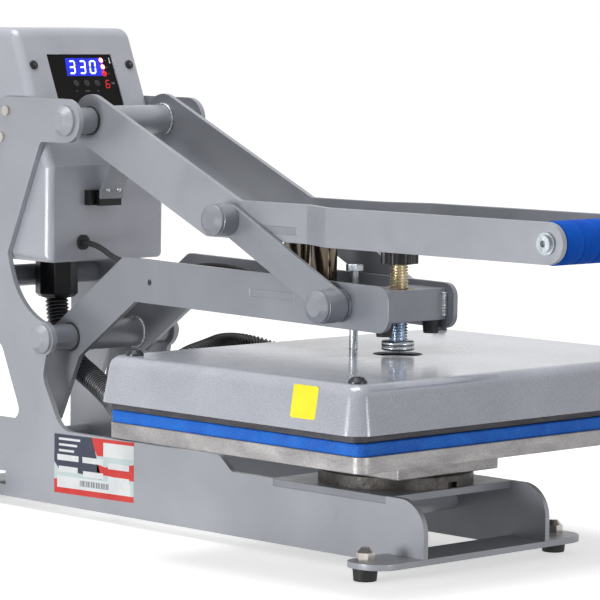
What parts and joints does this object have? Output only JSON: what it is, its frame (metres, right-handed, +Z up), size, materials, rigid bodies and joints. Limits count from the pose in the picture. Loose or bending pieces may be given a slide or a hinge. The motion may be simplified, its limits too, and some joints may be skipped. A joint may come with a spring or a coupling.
{
  "type": "clamshell heat press",
  "caption": "Clamshell heat press: a lever and links lift a heated platen on arms from a padded lower platen, with a pressure screw and a control box at the rear.",
  "frame": {"origin": "under the middle of the closed press, at the floor", "axes": "+X to the operator's right, -Y towards the operator, +Z up"},
  "size_m": [0.395, 0.7098, 0.4165],
  "materials": {
    "silver_paint": "satin grey enamel",
    "silver_lever": "satin silver enamel",
    "box_paint": "satin grey enamel",
    "hammered_cover": "speckled hammered silver paint",
    "cast_alloy": "machined casting",
    "dark_platen": "dark coated",
    "blue_silicone": "matte",
    "blue_foam": "matte foam",
    "black_rubber": "matte",
    "black_plastic": "matte",
    "gloss_black": "gloss",
    "zinc": "bright zinc",
    "nickel": "nickel plated",
    "bronze": "machined",
    "green_board": "matte",
    "fibre": "matte fibre"
  },
  "bodies": {
    "base": {"side_plate_left": "silver_paint", "side_plate_right": "silver_paint", "shelf_plate": "silver_paint", "foot_bars": "silver_paint", "rubber_feet": "black_rubber", "cross_rods": "silver_paint", "platen_hub": "silver_paint", "lower_platen": "cast_alloy", "silicone_pad": "blue_silicone", "control_box": "box_paint", "back_cover": "box_paint", "display_panel": "gloss_black", "control_board": "green_board", "heater_relay": "dark_platen", "power_inlet": "black_plastic", "switch_housing": "black_plastic", "base_fasteners": "zinc", "lid_switch": "black_plastic", "cable_grommet": "black_rubber", "conduit_gland": "black_plastic", "conduit": "black_plastic", "magnet_cable": "black_plastic", "pivot_shafts": "zinc", "pivot_caps": "zinc", "pivot_spacers": "silver_paint"},
    "power_switch": {"switch_rocker": "gloss_black"},
    "lever": {"lever_arm_left": "silver_lever", "lever_arm_right": "silver_lever", "lever_hub_tube": "silver_lever", "keeper_plate": "silver_lever", "grip_tube": "zinc", "grip_foam": "blue_foam", "grip_screws": "zinc", "switch_flag": "silver_lever", "flag_magnet": "nickel"},
    "link": {"link_left": "silver_paint", "link_right": "silver_paint", "link_collars": "zinc", "elbow_pin": "zinc", "link_caps": "zinc"},
    "platen_arm": {"platen_arm_left": "silver_paint", "platen_arm_right": "silver_paint", "arm_hub_tube": "silver_paint", "arm_cross_plates": "silver_paint", "arm_front_tube": "silver_paint", "threaded_bush": "bronze", "hold_magnets": "nickel", "arm_bumpers": "black_rubber", "front_pin": "zinc"},
    "heater": {"heater_cover": "hammered_cover", "heat_platen": "dark_platen", "heating_element": "zinc", "insulation_blanket": "fibre", "cover_screws": "zinc", "swivel_hub": "zinc", "guide_bolt": "zinc", "conduit_fitting": "black_plastic"},
    "pressure_knob": {"pressure_screw": "zinc", "pressure_knob": "black_plastic"}
  },
  "joints": [
    {"name": "platen_arm_hinge", "type": "hinge", "parent": "base", "child": "platen_arm", "pos_m": [0, 0.2289, 0.1498], "axis": [-1, 0, 0], "range_deg": [0, 32.13], "deforming": ["conduit", "magnet_cable"]},
    {"name": "lever_hinge", "type": "hinge", "parent": "base", "child": "lever", "pos_m": [0, 0.1999, 0.3384], "axis": [-1, 0, 0], "range_deg": [0, 68]},
    {"name": "link_hinge", "type": "hinge", "parent": "lever", "child": "link", "pos_m": [0, 0.0214, 0.2635], "axis": [1, 0, 0], "range_deg": [0, 59.77]},
    {"name": "platen_slide", "type": "slide", "parent": "platen_arm", "child": "heater", "axis": [0, 0, 1], "range_m": [0, 0.006]},
    {"name": "knob_turn", "type": "hinge", "parent": "heater", "child": "pressure_knob", "pos_m": [0, -0.1271, 0.2], "axis": [0, 0, 1], "range_deg": [0, 936]},
    {"name": "power_rocker", "type": "hinge", "parent": "base", "child": "power_switch", "pos_m": [-0.02, 0.3434, 0.25], "axis": [-1, 0, 0], "range_deg": [0, 16]}
  ],
  "couplings": [
    {"joint": "lever_hinge", "follows": "platen_arm_hinge", "ratio": 2.1164},
    {"joint": "link_hinge", "follows": "platen_arm_hinge", "ratio": 1.8602},
    {"joint": "knob_turn", "follows": "platen_slide", "rad_per_m": 2721}
  ]
}
